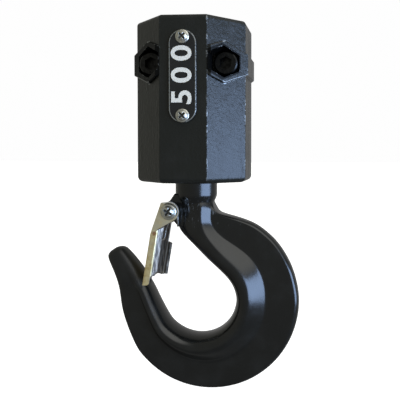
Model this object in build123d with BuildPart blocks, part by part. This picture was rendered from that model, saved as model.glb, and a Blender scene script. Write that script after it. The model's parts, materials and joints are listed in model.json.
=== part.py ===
from build123d import *
import os
from math import sqrt, cos, sin, radians

# Swivel hook block of a small chain hoist: a split octagonal casting that holds the end of the load chain
# on a pin, and carries a forged hook on a thrust ball bearing, with a sprung safety latch across its throat.
# Millimetres. The origin is the centre of the chain pin, on the shank axis. +Z is up, -Y is the front.

os.makedirs("parts", exist_ok=True)

# ---------------------------------------------------------------- driving dimensions
# block casting
across_flats = 48.0
block_height = 70.0
pin_depth = 19.0            # chain pin below the block's top
top_round = 1.8             # rounding of the block's top edges
bottom_round = 2.4          # rounding of the block's bottom edges
corner_round = 0.5          # rounding of the upright edges
seam_gap = 0.3              # width of the groove along the seam between the halves
seam_depth = 0.35

# chain entry
chain_bore_radius = 11.25
top_wall = 8.0
chain_bore_chamfer = 1.0
pocket_width = 22.8         # left to right
pocket_length = 28.0        # front to back
pocket_bottom = 14.0        # below the chain pin
pocket_round = 3.0
chain_pin_radius = 4.0
chain_pin_seat = 4.0        # how far the pin sits in each half
chain_pin_chamfer = 0.5

# clamp screws, M6 socket head, with hexagonal pockets in raised bosses
screw_spacing = 32.4
screw_radius = 3.0
screw_point_chamfer = 0.7
screw_beyond_nut = 2.4
screw_head_radius = 5.0
screw_head_height = 6.0
screw_head_chamfer = 0.5
socket_across = 5.0
socket_depth = 3.4
clamp_grip = 16.0           # casting between the floors of the front and the rear pocket
boss_half_width = 9.0
boss_height = 17.8          # from the top corner to the bottom corner
boss_side = 8.9             # upright side of the boss
boss_rise = 1.2             # above the slanted face
boss_round = 0.5
hex_pocket_across = 11.6
clamp_nut_across = 10.0
clamp_nut_height = 5.0
spring_washer_thick = 1.6
spring_washer_radius = 4.9
spring_washer_slit = 0.8

# dowels in the lower walls
dowel_radius = 2.0
dowel_length = 12.0
dowel_chamfer = 0.4
dowel_x = 19.8
dowel_drop = 16.0           # above the block's bottom

# number plate
plate_width = 11.5
plate_height = 38.2
plate_thick = 1.0
plate_chamfer = 0.2
plate_drop = 25.7           # plate centre below the block's top
plate_screw_spacing = 32.3
plate_screw_radius = 1.5
plate_screw_length = 6.0
plate_head_radius = 2.9
plate_head_height = 1.7
plate_recess_turn = 35.0    # degrees that the screws' recesses are turned

# pan heads, on the plate and on the latch
pan_round_share = 0.6       # rounding of the head, of its height
recess_slot_share = 0.25    # width of a recess slot, of the head's radius
recess_depth_share = 0.6    # depth of the recess, of the head's height

# thrust bearing and the nut above it
bottom_wall = 9.0
bearing_radius = 15.0
bearing_bore_radius = 8.5
race_thick = 2.6
race_chamfer = 0.3
race_gap = 3.8
ball_radius = 2.38
ball_count = 14
ball_circle_radius = 11.9
cage_thick = 1.6
cage_width = 5.4
thread_radius = 8.0
nut_across = 24.0
nut_height = 14.0
nut_crown_height = 4.5
nut_crown_radius = 10.8
nut_slot_width = 3.8
nut_slot_count = 6
split_pin_radius = 1.6
split_pin_eye = 1.9         # outer radius of the pin's eye
split_pin_tail_turn = 50.0  # degrees that the two tails reach round the nut, together
chamber_head_room = 3.0     # above the nut

# hook
shank_radius = 9.4
shank_below_block = 4.4     # straight shank below the block
shank_shoulder_drop = 1.0   # step up to the straight shank, below the bearing's seat
thread_step_drop = 0.5      # end of the thread, below the nut's seat
thread_beyond_nut = 1.5
thread_chamfer = 1.0
waist_radius = 8.2
waist_length = 5.4
waist_ease = 0.15           # how gently the waist's taper starts and ends
neck_overlap = 1.0          # how far the forged neck starts inside the waist
neck_inset = 0.15           # and how much thinner than the waist it starts
bowl_drop = 52.7            # bowl centre below the block's bottom
bowl_offset = 1.2           # bowl centre beside the shank axis
bowl_radius = 17.6
bowl_end = -150.0           # degrees, where the round of the bowl ends on the tip's side
bowl_sections = 11
back_radius = 40.75         # outline of the hook's back
back_offset = 5.35          # back circle beside the bowl centre
back_drop = 1.45            # and below it
rib_thick = 20.0            # thickness of the inner rib at the arm
bowl_end_thick = 17.0       # and where the bowl ends
web_share = 0.5             # thickness of the web behind the rib, as a share of the rib
edge_share = 0.36           # thickness near the outer edge

# latch
latch_pivot_x = -9.6
latch_pivot_drop = 13.0     # below the block's bottom
lug_radius = 4.9
latch_width = 24.0
latch_sheet = 1.2
latch_ear_radius = 4.4
latch_ear_corner = (-3.5, 3.9)      # square corner of the ear, beside and above the pivot
latch_knee_reach = 8.6      # outer bend of the latch, beside the pivot
latch_knee_drop = 10.6      # and below it
latch_end_reach = 12.0
latch_end_drop = 31.5
latch_flange_width = 2.9
latch_lip_width = 3.5       # lips turned in at 45 degrees along the flanges
latch_front_lip_drops = (8.0, 27.5)     # where the front lip starts and ends, below the pivot
latch_rear_lip_drops = (16.5, 31.5)     # the same for the rear lip
latch_bead_drop = 16.5      # where the bead starts, below the pivot
latch_bead_radius = 3.0
latch_bead_height = 0.8     # bead beyond the web's outer face
latch_web_start = 8.0       # top edge of the web, below the pivot
latch_bend_round = 0.9      # outer radius of the bends between web and flanges
bush_radius = 2.7
latch_screw_radius = 2.0
latch_screw_beyond_nut = 0.8
latch_head_radius = 3.5
latch_head_height = 2.6
latch_recess_turn = 20.0    # degrees that the screw's recess is turned
latch_nut_across = 7.0
latch_nut_height = 4.0
spring_wire = 0.8
spring_coil_radius = 3.4    # to the middle of the wire
spring_turns = 2.5
spring_ear_gap = 1.2        # between the coils and the latch's ears
spring_neck_leg = 6.4
spring_leg_lean = 1.6       # how far the legs at the neck lean inwards
spring_web_leg = 15.0
spring_knuckle_share = 1.05     # rounded bends at the coils' ends, of the wire's radius

# clearances
casting_clearance = 0.3     # between a turned part and a cast wall
running_clearance = 0.05    # radial, pin in bore
thread_clearance = 0.02     # between a thread's crest and its nut
rolling_clearance = 0.02    # ball to race
cage_clearance = 0.15
latch_clearance = 0.3

# ---------------------------------------------------------------- derived places
screw_length = clamp_grip + spring_washer_thick + clamp_nut_height + screw_beyond_nut
spring_pitch = spring_wire + running_clearance
coil_width = spring_wire + spring_pitch * spring_turns
lug_thick = latch_width - 2 * (latch_sheet + spring_ear_gap + coil_width + latch_clearance)

block_top = pin_depth
block_bottom = block_top - block_height
half_width = across_flats / 2
octagon_radius = half_width / cos(radians(22.5))
slant_reach = half_width * sqrt(2)            # x + y on the slanted faces
screw_x = screw_spacing / 2

seat_z = block_bottom + bottom_wall           # bearing seat
cage_z = seat_z + race_thick + race_gap / 2
nut_seat_z = seat_z + 2 * race_thick + race_gap
nut_top_z = nut_seat_z + nut_height
chamber_top_z = nut_top_z + chamber_head_room
chamber_radius = bearing_radius + casting_clearance
split_pin_z = nut_top_z - nut_crown_height / 2

bowl_z = block_bottom - bowl_drop
latch_pivot_z = block_bottom - latch_pivot_drop
waist_z = block_bottom - shank_below_block    # where the straight shank ends
neck_z = waist_z - waist_length


def save(part, name):
    part.label = name
    export_step(part, f"parts/{name}.step")


def front_plane(y, x=0.0, z=0.0):
    """A sketch plane that faces the front: its x is +X and its y is +Z."""
    return Plane(origin=(x, y, z), x_dir=(1, 0, 0), z_dir=(0, -1, 0))


# ---------------------------------------------------------------- block casting, whole
boss_corners = [
    (0, boss_height / 2),
    (boss_half_width, boss_side / 2),
    (boss_half_width, -boss_side / 2),
    (0, -boss_height / 2),
    (-boss_half_width, -boss_side / 2),
    (-boss_half_width, boss_side / 2),
]
boss_places = [(screw_x, 0), (-screw_x, 0)]
boss_reach = slant_reach + boss_rise * sqrt(2)
envelope_side = half_width + 2 * boss_rise      # clear of the bosses' own sides
envelope_corners = [(boss_reach - half_width, half_width), (envelope_side, boss_reach - envelope_side)]

with BuildPart() as boss_envelope:
    # what the bosses are trimmed to: the octagon with its slanted faces moved out
    with BuildSketch(Plane.XY.offset(-boss_height)):
        Polygon(
            *envelope_corners,
            *[(x, -y) for x, y in reversed(envelope_corners)],
            *[(-x, -y) for x, y in envelope_corners],
            *[(-x, y) for x, y in reversed(envelope_corners)],
            align=None,
        )
    extrude(amount=2 * boss_height)

with BuildPart() as bosses:
    with BuildSketch(front_plane(half_width)):
        with Locations(*boss_places):
            Polygon(*boss_corners)
    extrude(amount=across_flats)
    add(boss_envelope.part, mode=Mode.INTERSECT)
    fillet(bosses.edges(), radius=boss_round)

with BuildPart() as casting:
    with BuildSketch(Plane.XY.offset(block_bottom)):
        RegularPolygon(radius=octagon_radius, side_count=8, rotation=22.5)
    extrude(amount=block_height)
    fillet(casting.edges().filter_by(Axis.Z), radius=corner_round)
    fillet(casting.faces().sort_by(Axis.Z)[-1].edges(), radius=top_round)
    fillet(casting.faces().sort_by(Axis.Z)[0].edges(), radius=bottom_round)
    add(bosses.part)
    # chain entry and pocket
    with BuildSketch(Plane.XY.offset(block_top)):
        Circle(chain_bore_radius)
    extrude(amount=-(top_wall + pocket_round), mode=Mode.SUBTRACT)
    with BuildSketch(Plane.XY.offset(-pocket_bottom)):
        RectangleRounded(pocket_width, pocket_length, pocket_round)
    extrude(amount=pocket_bottom + block_top - top_wall, mode=Mode.SUBTRACT)
    with BuildSketch(Plane.XY.offset(block_top)):
        Circle(chain_bore_radius + chain_bore_chamfer)
    extrude(amount=-chain_bore_chamfer, taper=45, mode=Mode.SUBTRACT)
    # bearing chamber and shank bore
    with BuildSketch(Plane.XY.offset(seat_z)):
        Circle(chamber_radius)
    extrude(amount=chamber_top_z - seat_z, mode=Mode.SUBTRACT)
    with BuildSketch(Plane.XY.offset(block_bottom)):
        Circle(shank_radius + casting_clearance)
    extrude(amount=bottom_wall, mode=Mode.SUBTRACT)
    # chain pin seats
    pin_reach = pocket_length / 2 + chain_pin_seat
    with BuildSketch(front_plane(pin_reach)):
        Circle(chain_pin_radius + running_clearance)
    extrude(amount=2 * pin_reach, mode=Mode.SUBTRACT)
    # clamp screw holes, with a hexagonal pocket at each end
    with BuildSketch(front_plane(clamp_grip)):
        with Locations(*boss_places):
            Circle(screw_radius + casting_clearance)
    extrude(amount=2 * clamp_grip, mode=Mode.SUBTRACT)
    for side in (-1, 1):
        with BuildSketch(front_plane(side * clamp_grip / 2)):
            with Locations(*boss_places):
                RegularPolygon(
                    radius=hex_pocket_across / 2, side_count=6, major_radius=False, rotation=30
                )
        extrude(amount=-side * across_flats, mode=Mode.SUBTRACT)
    # dowel holes
    with BuildSketch(front_plane(dowel_length / 2 + casting_clearance, z=block_bottom + dowel_drop)):
        with Locations((dowel_x, 0), (-dowel_x, 0)):
            Circle(dowel_radius)
    extrude(amount=dowel_length + 2 * casting_clearance, mode=Mode.SUBTRACT)
    # tapped holes for the plate screws
    with BuildSketch(front_plane(-half_width, z=block_top - plate_drop)):
        with GridLocations(0, plate_screw_spacing, 1, 2):
            Circle(plate_screw_radius)
    extrude(amount=-(plate_screw_length + casting_clearance), mode=Mode.SUBTRACT)
    # groove along the seam
    with BuildSketch(front_plane(seam_gap / 2, z=(block_top + block_bottom) / 2)):
        Rectangle(2 * envelope_side, block_height + seam_depth)
        Rectangle(across_flats - 2 * seam_depth, block_height - 2 * seam_depth, mode=Mode.SUBTRACT)
    extrude(amount=seam_gap, mode=Mode.SUBTRACT)

# ---------------------------------------------------------------- the two halves
with BuildPart() as front_half:
    add(casting.part)
    split(bisect_by=Plane.XZ, keep=Keep.TOP)

with BuildPart() as rear_half:
    add(casting.part)
    split(bisect_by=Plane.XZ, keep=Keep.BOTTOM)

save(front_half.part, "front_half")
save(rear_half.part, "rear_half")

# ---------------------------------------------------------------- chain pin and dowels
with BuildPart() as chain_pin:
    with BuildSketch(front_plane(pin_reach - running_clearance)):
        Circle(chain_pin_radius)
    extrude(amount=2 * (pin_reach - running_clearance))
    chamfer(chain_pin.edges(), length=chain_pin_chamfer)
save(chain_pin.part, "chain_pin")

with BuildPart() as dowel_pins:
    with BuildSketch(front_plane(dowel_length / 2, z=block_bottom + dowel_drop)):
        with Locations((dowel_x, 0), (-dowel_x, 0)):
            Circle(dowel_radius - thread_clearance)
    extrude(amount=dowel_length)
    chamfer(dowel_pins.edges(), length=dowel_chamfer)
save(dowel_pins.part, "dowel_pins")

# ---------------------------------------------------------------- clamp screws, washers and nuts
pocket_floor = clamp_grip / 2
head_seat = pocket_floor + spring_washer_thick

with BuildPart() as clamp_screws:
    with BuildSketch(front_plane(screw_length - head_seat)):
        with Locations(*boss_places):
            Circle(screw_radius)
    extrude(amount=screw_length)
    chamfer(clamp_screws.faces().sort_by(Axis.Y)[-2:].edges(), length=screw_point_chamfer)
    with BuildSketch(front_plane(-head_seat)):
        with Locations(*boss_places):
            Circle(screw_head_radius)
    extrude(amount=screw_head_height)
    chamfer(clamp_screws.faces().sort_by(Axis.Y)[:2].edges(), length=screw_head_chamfer)
    with BuildSketch(front_plane(-head_seat - screw_head_height)):
        with Locations(*boss_places):
            RegularPolygon(radius=socket_across / 2, side_count=6, major_radius=False, rotation=30)
    extrude(amount=-socket_depth, mode=Mode.SUBTRACT)
save(clamp_screws.part, "clamp_screws")

with BuildPart() as spring_washers:
    with BuildSketch(front_plane(-pocket_floor)):
        with Locations(*boss_places):
            Circle(spring_washer_radius)
            Circle(screw_radius + casting_clearance, mode=Mode.SUBTRACT)
            with Locations((spring_washer_radius, 0)):
                Rectangle(2 * spring_washer_radius, spring_washer_slit, mode=Mode.SUBTRACT)
    extrude(amount=spring_washer_thick)
save(spring_washers.part, "spring_washers")

with BuildPart() as clamp_nuts:
    with BuildSketch(front_plane(pocket_floor)):
        with Locations(*boss_places):
            RegularPolygon(radius=clamp_nut_across / 2, side_count=6, major_radius=False, rotation=30)
            Circle(screw_radius + thread_clearance, mode=Mode.SUBTRACT)
    extrude(amount=-clamp_nut_height)
save(clamp_nuts.part, "clamp_nuts")

# ---------------------------------------------------------------- number plate and its screws
plate_z = block_top - plate_drop

with BuildPart() as number_plate:
    with BuildSketch(front_plane(-half_width, z=plate_z)):
        SlotOverall(plate_height, plate_width, rotation=90)
        with GridLocations(0, plate_screw_spacing, 1, 2):
            Circle(plate_screw_radius + casting_clearance, mode=Mode.SUBTRACT)
    extrude(amount=plate_thick)
    chamfer(number_plate.faces().sort_by(Axis.Y)[0].outer_wire().edges(), length=plate_chamfer)
save(number_plate.part, "number_plate")


def pan_screws(face, places, radius, length, head_radius, head_height, recess_turn):
    """Pan head screws with a cross recess, whose heads stand on the given plane."""
    with BuildPart() as screws:
        with BuildSketch(face):
            with Locations(*places):
                Circle(head_radius)
        extrude(amount=head_height)
        fillet(screws.faces().sort_by(Axis.Y)[: len(places)].edges(), radius=head_height * pan_round_share)
        with BuildSketch(face):
            with Locations(*places):
                Circle(radius)
        extrude(amount=-length)
        with BuildSketch(face.offset(head_height)):
            with Locations(*places):
                for turn in (recess_turn, recess_turn + 90):
                    Rectangle(head_radius, head_radius * recess_slot_share, rotation=turn)
        extrude(amount=-head_height * recess_depth_share, mode=Mode.SUBTRACT)
    return screws.part


plate_screws = pan_screws(
    front_plane(-half_width - plate_thick, z=plate_z),
    [(0, plate_screw_spacing / 2), (0, -plate_screw_spacing / 2)],
    plate_screw_radius - thread_clearance,
    plate_screw_length,
    plate_head_radius,
    plate_head_height,
    plate_recess_turn,
)
save(plate_screws, "plate_screws")

# ---------------------------------------------------------------- thrust bearing
groove_radius = ball_radius + rolling_clearance


def race(name, bottom_z, bore):
    """One race of the thrust bearing, with the ball groove cut on the cage's side."""
    with BuildPart() as ring:
        with BuildSketch(Plane.XY.offset(bottom_z)):
            Circle(bearing_radius)
            Circle(bore, mode=Mode.SUBTRACT)
        extrude(amount=race_thick)
        chamfer(ring.edges().filter_by(GeomType.CIRCLE), length=race_chamfer)
        with BuildSketch(Plane.XZ):
            with Locations((ball_circle_radius, cage_z)):
                Circle(groove_radius)
        revolve(axis=Axis.Z, mode=Mode.SUBTRACT)
    save(ring.part, name)


race("bearing_lower_race", seat_z, bearing_bore_radius + casting_clearance)
race("bearing_upper_race", nut_seat_z - race_thick, bearing_bore_radius)

with BuildPart() as bearing_balls:
    with BuildSketch(Plane.XZ):
        with Locations((ball_circle_radius, cage_z)):
            Circle(ball_radius)
            Rectangle(ball_radius, 2 * ball_radius, align=(Align.MAX, Align.CENTER), mode=Mode.SUBTRACT)
    revolve(axis=Axis((ball_circle_radius, 0, 0), (0, 0, 1)))
    one_ball = bearing_balls.part
save(Compound([one_ball.rotate(Axis.Z, 360 / ball_count * i) for i in range(ball_count)]), "bearing_balls")

with BuildPart() as bearing_cage:
    with BuildSketch(Plane.XY.offset(cage_z - cage_thick / 2)):
        Circle(ball_circle_radius + cage_width / 2)
        Circle(ball_circle_radius - cage_width / 2, mode=Mode.SUBTRACT)
        with PolarLocations(ball_circle_radius, ball_count):
            Circle(ball_radius + cage_clearance, mode=Mode.SUBTRACT)
    extrude(amount=cage_thick)
save(bearing_cage.part, "bearing_cage")

# ---------------------------------------------------------------- castle nut and its split pin
with BuildPart() as hook_nut:
    with BuildSketch(Plane.XY.offset(nut_seat_z)):
        RegularPolygon(radius=nut_across / 2, side_count=6, major_radius=False)
    extrude(amount=nut_height - nut_crown_height)
    with BuildSketch(Plane.XY.offset(nut_top_z - nut_crown_height)):
        Circle(nut_crown_radius)
    extrude(amount=nut_crown_height)
    with BuildSketch(Plane.XY.offset(nut_seat_z)):
        Circle(thread_radius + thread_clearance)
    extrude(amount=nut_height, mode=Mode.SUBTRACT)
    with BuildSketch(Plane.XY.offset(nut_top_z)):
        with PolarLocations(nut_crown_radius, nut_slot_count, start_angle=90):
            Rectangle(nut_crown_radius, nut_slot_width)
    extrude(amount=-nut_crown_height, mode=Mode.SUBTRACT)
save(hook_nut.part, "hook_nut")

tail_inner = nut_crown_radius + casting_clearance
tail_outer = tail_inner + split_pin_radius

with BuildPart() as split_pin:
    # through the nut's slots and the shank, with its eye in front and its tails bent round the nut behind
    with BuildSketch(front_plane(tail_outer - split_pin_radius / 2, z=split_pin_z)):
        Circle(split_pin_radius)
    extrude(amount=tail_outer - split_pin_radius / 2 + tail_inner + split_pin_eye / 4)
    with BuildSketch(Plane.YZ):
        with Locations((-tail_inner - split_pin_eye, split_pin_z)):
            Circle(split_pin_eye)
            Circle(split_pin_eye / 2, mode=Mode.SUBTRACT)
    extrude(amount=split_pin_radius / 2, both=True)
    with BuildSketch(Plane.XY.offset(split_pin_z)):
        with BuildLine():
            first = 90 - split_pin_tail_turn / 2
            inner_arc = CenterArc((0, 0), tail_inner, first, split_pin_tail_turn)
            outer_arc = CenterArc((0, 0), tail_outer, first, split_pin_tail_turn)
            Line(inner_arc @ 0, outer_arc @ 0)
            Line(inner_arc @ 1, outer_arc @ 1)
        make_face()
    extrude(amount=split_pin_radius / 2, both=True)
save(split_pin.part, "split_pin")

# ---------------------------------------------------------------- hook
# The hook lies in the plane Y = 0. Its sections run from the shank through the arm and the bowl to the tip,
# each between a point on the inner edge and one on the outer edge, both given as (x, z).
bowl_centre = (bowl_offset, bowl_z)
back_centre = (bowl_offset + back_offset, bowl_z - back_drop)

# half of the arm's section: share of the way from the inner edge to the outer, share of the half thickness
rib_profile = [
    (0.0, 0.0),
    (0.03, 0.5),
    (0.075, 0.85),
    (0.14, 1.0),
    (0.21, 0.96),
    (0.32, 0.74),
    (0.43, web_share),
    (0.66, (web_share + edge_share) / 2),
    (0.88, edge_share),
    (0.97, edge_share * 0.62),
    (1.0, 0.0),
]

# points that the inner and the outer edge run through between the waist and the bowl: beside the shank axis and
# below the block's bottom. The outer edge then follows the back circle, at angles in degrees.
inner_guides = [
    (-8.3, 12.5),
    (-8.6, 16.5),
    (-8.2, 20.3),
    (-5.6, 24.1),
    (0.2, 29.8),
    (5.4, 35.0),
    (11.2, 40.0),
    (15.2, 43.9),
]
bowl_guide_angles = [16, 0, -10]
outer_guides = [(8.2, 11.0), (9.9, 13.5), (14.0, 15.1), (20.6, 16.8)]
back_guide_angles = [58, 46, 34, 22, 12, 2, -8]

# sections from the waist to the bowl: share of the way along the inner and the outer edge, and how far the
# section has changed from round to ribbed
neck_sections = [
    (0.0, 0.0, 0.0),
    (0.06, 0.025, 0.02),
    (0.13, 0.055, 0.08),
    (0.2, 0.1, 0.2),
    (0.28, 0.16, 0.38),
    (0.38, 0.24, 0.6),
    (0.5, 0.35, 0.82),
    (0.62, 0.47, 0.96),
    (0.74, 0.6, 1.0),
    (0.85, 0.75, 1.0),
    (0.95, 0.9, 1.0),
]
bowl_start = -14.0          # degrees, the first section of the bowl below those

# sections of the tip: inner point across and up from the bowl's end, width, direction of the outer point in
# degrees, thickness, and how much of the rib is left
tip_steps = [
    (-2.8, 5.5, 17.5, 195.0, 15.6, 0.8),
    (-6.2, 12.6, 15.1, 184.0, 14.0, 0.55),
    (-10.9, 20.2, 12.7, 189.0, 12.0, 0.3),
    (-15.5, 26.0, 10.7, 194.0, 10.0, 0.1),
    (-19.8, 29.5, 7.9, 202.0, 8.0, 0.0),
    (-23.1, 29.85, 4.5, 208.0, 5.0, 0.0),
    (-24.2, 29.65, 2.6, 208.0, 2.8, 0.0),
]


def from_centre(centre, radius, angle):
    """A point (x, z) at a radius and an angle in degrees from a centre (x, z)."""
    return (centre[0] + radius * cos(radians(angle)), centre[1] + radius * sin(radians(angle)))


def back_reach(angle):
    """How far the back circle is from the bowl's centre, along a ray at an angle."""
    along = back_offset * cos(radians(angle)) - back_drop * sin(radians(angle))
    return along + sqrt(back_radius**2 - back_offset**2 - back_drop**2 + along**2)


def edge_through(start, guides, centre, radius, angles):
    """A smooth edge from the waist through its guide points and on along a circle."""
    places = [start] + [(x, block_bottom - drop) for x, drop in guides]
    places += [from_centre(centre, radius, angle) for angle in angles]
    return Spline(*[(x, 0, z) for x, z in places])


def section_points(width, thick, rib):
    """A closed outline between a round (rib = 0) and the rib profile (rib = 1)."""
    half = []
    for step, (along, share) in enumerate(rib_profile):
        turn = radians(180 * step / (len(rib_profile) - 1))
        round_along = (1 - cos(turn)) / 2
        x = width * (round_along + rib * (along - round_along))
        y = thick / 2 * (sin(turn) + rib * (share - sin(turn)))
        half.append((x, y))
    return half + [(x, -y) for x, y in reversed(half[1:-1])]


# the first section is round and lies a little way up inside the waist
root_radius = waist_radius - neck_inset
root_z = neck_z + neck_overlap
inner_edge = edge_through((-root_radius, root_z), inner_guides, bowl_centre, bowl_radius, bowl_guide_angles)
outer_edge = edge_through((root_radius, root_z), outer_guides, back_centre, back_radius, back_guide_angles)
sections = []
for inner_share, outer_share, rib in neck_sections:
    inner_point = inner_edge @ inner_share
    outer_point = outer_edge @ outer_share
    thick = 2 * root_radius + (rib_thick - 2 * root_radius) * rib
    sections.append(((inner_point.X, inner_point.Z), (outer_point.X, outer_point.Z), thick, rib))
for step in range(bowl_sections):
    share = step / (bowl_sections - 1)
    angle = bowl_start + (bowl_end - bowl_start) * share
    inner = from_centre(bowl_centre, bowl_radius, angle)
    outer = from_centre(bowl_centre, back_reach(angle), angle)
    sections.append((inner, outer, rib_thick + (bowl_end_thick - rib_thick) * share, 1.0))
bowl_last = sections[-1][0]
for across, up, width, direction, thick, rib in tip_steps:
    inner = (bowl_last[0] + across, bowl_last[1] + up)
    sections.append((inner, from_centre(inner, width, direction), thick, rib))

spring_seat_radius = spring_coil_radius + spring_wire / 2 + latch_clearance

with BuildPart() as hook:
    for inner, outer, thick, rib in sections:
        run_x, run_z = outer[0] - inner[0], outer[1] - inner[1]
        width = sqrt(run_x**2 + run_z**2)
        station = Plane(origin=(inner[0], 0, inner[1]), x_dir=(run_x, 0, run_z), z_dir=(-run_z, 0, run_x))
        with BuildSketch(station):
            with BuildLine():
                Spline(*section_points(width, thick, rib), periodic=True)
            make_face()
    loft()
    # turned part: thread, bearing seat, shank and waist
    with BuildSketch(Plane.XZ):
        with BuildLine():
            thread_top = nut_top_z + thread_beyond_nut
            thread_foot = nut_seat_z - thread_step_drop
            shoulder_z = seat_z - shank_shoulder_drop
            bearing_seat = bearing_bore_radius - running_clearance
            Polyline(
                (0, neck_z),
                (0, thread_top),
                (thread_radius - thread_chamfer, thread_top),
                (thread_radius, thread_top - thread_chamfer),
                (thread_radius, thread_foot),
                (bearing_seat, thread_foot),
                (bearing_seat, shoulder_z),
                (shank_radius, shoulder_z),
                (shank_radius, waist_z),
            )
            Spline(
                (shank_radius, waist_z),
                (shank_radius - waist_ease, waist_z - waist_length / 4),
                ((shank_radius + waist_radius) / 2, waist_z - waist_length / 2),
                (waist_radius + waist_ease, waist_z - waist_length * 3 / 4),
                (waist_radius, neck_z),
            )
            Line((waist_radius, neck_z), (0, neck_z))
        make_face()
    revolve(axis=Axis.Z)
    # lug for the latch
    with BuildSketch(front_plane(lug_thick / 2)):
        with Locations((latch_pivot_x, latch_pivot_z)):
            Circle(lug_radius)
        with Locations((-waist_radius / 2, latch_pivot_z)):
            Rectangle(waist_radius / 2, 2 * lug_radius)
        make_hull()
    extrude(amount=lug_thick)
    # round seats for the spring's coils, beside the lug
    for side in (-1, 1):
        with BuildSketch(front_plane(side * lug_thick / 2)):
            with Locations((latch_pivot_x, latch_pivot_z)):
                Circle(spring_seat_radius)
        extrude(amount=-side * latch_width / 2, mode=Mode.SUBTRACT)
    # bore for the latch's bush, and the split pin's hole
    with BuildSketch(front_plane(latch_width)):
        with Locations((latch_pivot_x, latch_pivot_z)):
            Circle(bush_radius + running_clearance)
        with Locations((0, split_pin_z)):
            Circle(split_pin_radius + running_clearance)
    extrude(amount=2 * latch_width, mode=Mode.SUBTRACT)
save(hook.part, "hook")

# ---------------------------------------------------------------- latch
# Points of the latch are given from its pivot, as (x, z). Its web lies on the side of the hook's tip.
pivot = (latch_pivot_x, latch_pivot_z)
knee = (-latch_knee_reach, -latch_knee_drop)
latch_end = (-latch_end_reach, -latch_end_drop)
inner_half_width = latch_width / 2 - latch_sheet


def latch_point(drop, inset):
    """A point at a depth below the pivot, inset from the latch's outer edge."""
    start, end = (latch_ear_corner, knee) if drop < latch_knee_drop else (knee, latch_end)
    slope = (end[0] - start[0]) / (end[1] - start[1])
    return (start[0] + slope * (-drop - start[1]) + inset, -drop)


# the lower part is straight: its length, and how far it leans and falls for each millimetre of it
lower_length = sqrt((latch_end[0] - knee[0]) ** 2 + (latch_end[1] - knee[1]) ** 2)
lower_lean = (latch_end[0] - knee[0]) / lower_length
lower_fall = (knee[1] - latch_end[1]) / lower_length


def lower_point(drop, inset):
    """A point on the line of the lower part, which this carries on above the knee."""
    return (knee[0] + (drop - latch_knee_drop) * lower_lean / lower_fall + inset, -drop)


def lower_station(drop):
    """A plane across the lower part: x runs inwards from its outer edge, y to the front."""
    corner = lower_point(drop, 0)
    return Plane(
        origin=(latch_pivot_x + corner[0], 0, latch_pivot_z + corner[1]),
        x_dir=(lower_fall, 0, lower_lean),
        z_dir=(lower_lean, 0, -lower_fall),
    )


flange_outline = [
    latch_ear_corner,
    knee,
    latch_end,
    lower_point(latch_end_drop, latch_flange_width),
    lower_point(latch_web_start, latch_flange_width),
    (latch_ear_radius / 2, -latch_ear_radius * sqrt(3) / 2),
    (0.0, 0.0),
    (0.0, latch_ear_radius),
]
beyond = latch_end_drop + latch_width
between_flanges = [
    (-beyond, -latch_web_start),
    latch_point(latch_web_start, latch_sheet),
    latch_point(latch_knee_drop, latch_sheet),
    latch_point(beyond, latch_sheet),
    (beyond, -beyond),
    (beyond, beyond),
    (-beyond, beyond),
]

# section of a lip
lip_root = latch_flange_width * lower_fall
lip_reach = latch_lip_width * sqrt(0.5)
lip_skin = latch_sheet * sqrt(0.5)
lip_outline = [
    (lip_root - latch_sheet / 2, latch_width / 2),
    (lip_root, latch_width / 2),
    (lip_root + lip_reach, latch_width / 2 - lip_reach),
    (lip_root + lip_reach - lip_skin, latch_width / 2 - lip_reach - lip_skin),
    (lip_root, latch_width / 2 - 2 * lip_skin),
    (lip_root - latch_sheet / 2, inner_half_width),
]
bead_plane = lower_station(latch_bead_drop)
bead_length = (latch_end_drop - latch_bead_drop) / lower_fall

with BuildPart() as latch:
    with BuildSketch(front_plane(latch_width / 2, *pivot)):
        Circle(latch_ear_radius)
        Polygon(*flange_outline, align=None)
    extrude(amount=latch_width)
    # rounded bends between the web and the flanges, along the lower part
    bend_middle = lower_station((latch_knee_drop + latch_end_drop) / 2).origin
    straight_edges = latch.edges().filter_by(GeomType.LINE).filter_by(Axis.Y, reverse=True)
    fillet(straight_edges.sort_by_distance(bend_middle)[:2], radius=latch_bend_round)
    with BuildSketch(front_plane(inner_half_width, *pivot)):
        Polygon(*between_flanges, align=None)
    extrude(amount=2 * inner_half_width, mode=Mode.SUBTRACT)
    # lips along the free edges of the flanges: the front one is higher
    for side, (lip_start, lip_end) in ((1, latch_front_lip_drops), (-1, latch_rear_lip_drops)):
        with BuildSketch(lower_station(lip_start)):
            Polygon(*[(x, side * y) for x, y in lip_outline], align=None)
        extrude(amount=(lip_end - lip_start) / lower_fall)
    # bead pressed out of the web along its middle, which rests on the hook's tip
    with BuildSketch(bead_plane):
        with Locations((latch_bead_radius - latch_bead_height, 0)):
            Circle(latch_bead_radius)
        with Locations((latch_sheet, 0)):
            Rectangle(
                2 * latch_bead_radius, 2 * latch_bead_radius, align=(Align.MIN, Align.CENTER), mode=Mode.SUBTRACT
            )
    extrude(amount=bead_length)
    with BuildSketch(bead_plane):
        with Locations((latch_bead_radius - latch_bead_height, 0)):
            Circle(latch_bead_radius - latch_sheet)
    extrude(amount=bead_length, mode=Mode.SUBTRACT)
    with BuildSketch(front_plane(latch_width / 2, *pivot)):
        Circle(latch_screw_radius + running_clearance)
    extrude(amount=latch_width, mode=Mode.SUBTRACT)
save(latch.part, "latch")

# ---------------------------------------------------------------- latch bush, screw and nut
with BuildPart() as latch_bush:
    with BuildSketch(front_plane(inner_half_width, *pivot)):
        Circle(bush_radius)
        Circle(latch_screw_radius + running_clearance, mode=Mode.SUBTRACT)
    extrude(amount=2 * inner_half_width)
save(latch_bush.part, "latch_bush")

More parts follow.
